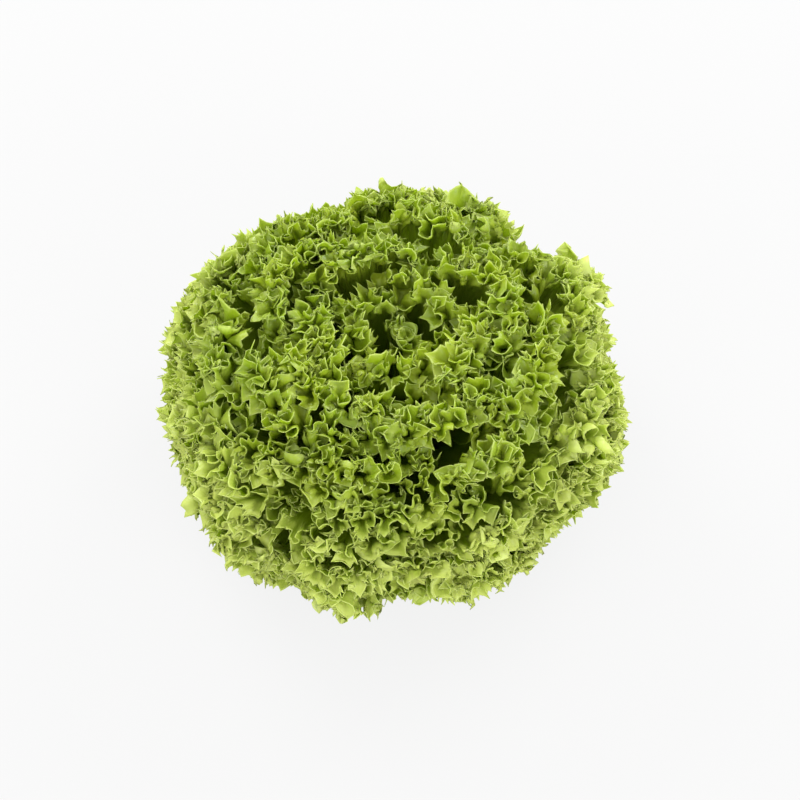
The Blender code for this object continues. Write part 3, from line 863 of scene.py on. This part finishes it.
class Paint:
    """A material and the one way to add a node to it."""

    def __init__(self, name):
        self.material = bpy.data.materials.new(name)
        self.material.use_nodes = True
        self.tree = self.material.node_tree
        self.tree.nodes.clear()

    def node(self, kind, settings=None, sockets=None, output=0):
        """A node with its settings made first, then its sockets given values or links."""
        made = self.tree.nodes.new(kind)
        for name, value in (settings or {}).items():
            setattr(made, name, value)
        for key, value in (sockets or {}).items():
            if isinstance(value, Value):
                self.tree.links.new(value.socket, made.inputs[key])
            else:
                made.inputs[key].default_value = value
        return Value(self, made.outputs[output]) if len(made.outputs) else made

    def attribute(self, name):
        return self.node("ShaderNodeAttribute", {"attribute_name": name}, output="Fac")

    def noise(self, where, scale, detail=2.0):
        sockets = {"Vector": where, "Scale": scale, "Detail": detail}
        return self.node("ShaderNodeTexNoise", {}, sockets)

    def ramp(self, value, low, high, from_=0.0, to=1.0):
        return self.node(
            "ShaderNodeMapRange", {"interpolation_type": "SMOOTHSTEP"},
            {"Value": value, "From Min": low, "From Max": high, "To Min": from_, "To Max": to},
        )

    def blend(self, share, first, second):
        """From the first colour to the second."""
        first, second = ((*c, 1) if isinstance(c, tuple) else c for c in (first, second))
        return self.node("ShaderNodeMix", {"data_type": "RGBA"}, {0: share, 6: first, 7: second}, 2)

    def bump(self, height, distance, strength=1.0):
        sockets = {"Height": height, "Distance": distance, "Strength": strength}
        return self.node("ShaderNodeBump", {}, sockets)


def leaf_finish():
    """Satin leaf: mottled yellow-green, paler outside partly as painted light, pale along the rim
    partly as a painted highlight, paler along veins, with painted shade deep in from the margin, and
    lit through.
    """
    paint = Paint("lettuce_leaf")
    where = paint.node("ShaderNodeTexCoord", output="Object")
    from_margin = paint.attribute("from_margin")
    along = paint.attribute("along_margin")
    patch = paint.ramp(paint.noise(where, PATCH_SCALE), 0.35, 0.68)
    mottle = paint.ramp(paint.noise(where, SPOT_SCALE, 3), 0.30, 0.72)
    colour = paint.blend(patch, LEAF_DEEP, LEAF_GREEN)
    colour = paint.blend(mottle * 0.30, colour, LEAF_PALE)
    aside = paint.node("ShaderNodeVectorMath", {"operation": "MULTIPLY"}, {0: where, 1: (1, 1, 0)})
    reach = paint.node("ShaderNodeVectorMath", {"operation": "LENGTH"}, {0: aside}, "Value")
    # Painted light: paler towards the outside of the head, where light falls on the outer leaves and
    # the middle lies in shade; partly the outer leaves' own paler green.
    colour = paint.blend(paint.ramp(reach, *OUTER_PAINTED_LIGHT_REACH, 0, 0.90), colour, OUTER_GREEN_AND_LIGHT)
    # Painted shade: darker from 5 to 22 mm in from the margin, where shade falls deep between the
    # leaves.
    colour = paint.blend(paint.ramp(from_margin, *PAINTED_SHADE_REACH, 0, 0.60), colour, LEAF_PAINTED_SHADE)
    colour = paint.blend(paint.ramp(from_margin, *HEART_REACH), colour, HEART_GREEN)
    across = {"X": along, "Y": from_margin * VEIN_STRETCH}
    across = paint.node("ShaderNodeCombineXYZ", {}, across)
    vein = paint.node(
        "ShaderNodeTexVoronoi", {"feature": "DISTANCE_TO_EDGE"},
        {"Vector": across, "Scale": VEIN_SCALE}, "Distance",
    )
    vein = paint.ramp(vein, 0.10, 0.0)
    colour = paint.blend(vein * 0.22, colour, LEAF_PALE)
    # Painted highlight along the rim, partly the margin's own paler green, stronger in some patches
    # than in others.
    rim_patches = paint.ramp(paint.noise(where, RIM_PATCH_SCALE), 0.3, 0.7, 0.15, 0.50)
    rim = paint.ramp(from_margin, PALE_RIM_AND_HIGHLIGHT, 0.0) * rim_patches
    colour = paint.blend(rim, colour, RIM_GREEN_AND_HIGHLIGHT)
    grain = paint.noise(where, GRAIN_SCALE, 3)
    bumps = paint.bump(grain * 0.6 - vein * 0.4, 0.0006, 0.45)
    skin = paint.node("ShaderNodeBsdfPrincipled", {}, {
        "Base Color": colour, "Roughness": paint.ramp(mottle, 0, 1, 0.28, 0.44),
        "Normal": bumps, "Specular IOR Level": 0.42,
    })
    through = paint.node("ShaderNodeBsdfTranslucent", {}, {"Color": (*LEAF_THROUGH, 1)})
    both = paint.node("ShaderNodeMixShader", {}, {0: THROUGH_SHARE, 1: skin, 2: through})
    paint.node("ShaderNodeOutputMaterial", {}, {"Surface": both})
    return paint.material


def stem_finish():
    """Pale flesh, streaked upwards, with a browned cut face."""
    paint = Paint("lettuce_stem")
    where = paint.node("ShaderNodeTexCoord", output="Object")
    upright = {"Vector": where, "Scale": (1, 1, STREAK_STRETCH)}
    streaks = paint.node("ShaderNodeMapping", {}, upright)
    streak = paint.ramp(paint.noise(streaks, STREAK_SCALE, 3), 0.3, 0.7)
    height = paint.node("ShaderNodeSeparateXYZ", {}, {"Vector": where}, "Z")
    colour = paint.blend(streak, STEM_GREEN, STEM_PALE)
    blotch = paint.ramp(paint.noise(where, BROWN_SCALE, 3), 0.25, 0.75, 0.45, 1.0)
    browned = paint.ramp(height, BROWN_HEIGHT, 0.0) * blotch
    colour = paint.blend(browned, colour, STEM_BROWN)
    skin = paint.node("ShaderNodeBsdfPrincipled", {}, {
        "Base Color": colour, "Roughness": paint.ramp(streak, 0, 1, 0.45, 0.62),
        "Normal": paint.bump(streak, 0.0004, 0.5),
    })
    paint.node("ShaderNodeOutputMaterial", {}, {"Surface": skin})
    return paint.material


def make_floor():
    """A plain pale floor with hardly any shadow, which runs on past every view."""
    bm = bmesh.new()
    bmesh.ops.create_grid(bm, x_segments=8, y_segments=8, size=FLOOR_HALF_SIZE)
    mesh = bpy.data.meshes.new("floor")
    bm.to_mesh(mesh)
    bm.free()
    paint = Paint("pale_floor")
    where = paint.node("ShaderNodeTexCoord", output="Object")
    distance = paint.node("ShaderNodeVectorMath", {"operation": "LENGTH"}, {0: where}, "Value")
    skin = paint.node("ShaderNodeBsdfPrincipled", {}, {
        "Base Color": (FLOOR_GREY, FLOOR_GREY, FLOOR_GREY, 1), "Roughness": 0.9,
        "Specular IOR Level": 0.0, "Emission Strength": 1.0,
        "Emission Color": paint.ramp(distance, *FLOOR_REACH, *FLOOR_GLOW),
    })
    paint.node("ShaderNodeOutputMaterial", {}, {"Surface": skin})
    mesh.materials.append(paint.material)
    floor = bpy.data.objects.new("floor", mesh)
    bpy.context.scene.collection.objects.link(floor)


def aim(thing, place, target):
    thing.location = place
    thing.rotation_euler = (target - place).to_track_quat("-Z", "Y").to_euler()


def make_light():
    """A white room, and soft lamps all round and above."""
    world = bpy.data.worlds.new("white_room")
    bpy.context.scene.world = world
    world.use_nodes = True
    background = world.node_tree.nodes["Background"]
    background.inputs["Color"].default_value = (1.0, 1.0, 1.0, 1)
    background.inputs["Strength"].default_value = WHITE_ROOM
    for place, size, power in SOFT_LIGHTS:
        soft = bpy.data.lights.new("soft_box", "AREA")
        soft.size = size
        soft.energy = power
        lamp = bpy.data.objects.new("soft_box", soft)
        aim(lamp, Vector(place), LAMP_TARGET)
        bpy.context.scene.collection.objects.link(lamp)


def make_camera():
    """A camera at the photograph's angle, straight in front of the head."""
    lens = bpy.data.cameras.new("camera")
    lens.lens = LENS
    camera = bpy.data.objects.new("camera", lens)
    back = Vector((0, -math.cos(CAMERA_ELEVATION), math.sin(CAMERA_ELEVATION)))
    aim(camera, CAMERA_TARGET + CAMERA_DISTANCE * back, CAMERA_TARGET)
    bpy.context.scene.collection.objects.link(camera)
    bpy.context.scene.camera = camera
    bpy.context.scene.view_settings.view_transform = "Standard"


make_camera()
make_light()
make_floor()
make_stem(stem_finish())
make_leaves(leaf_finish())
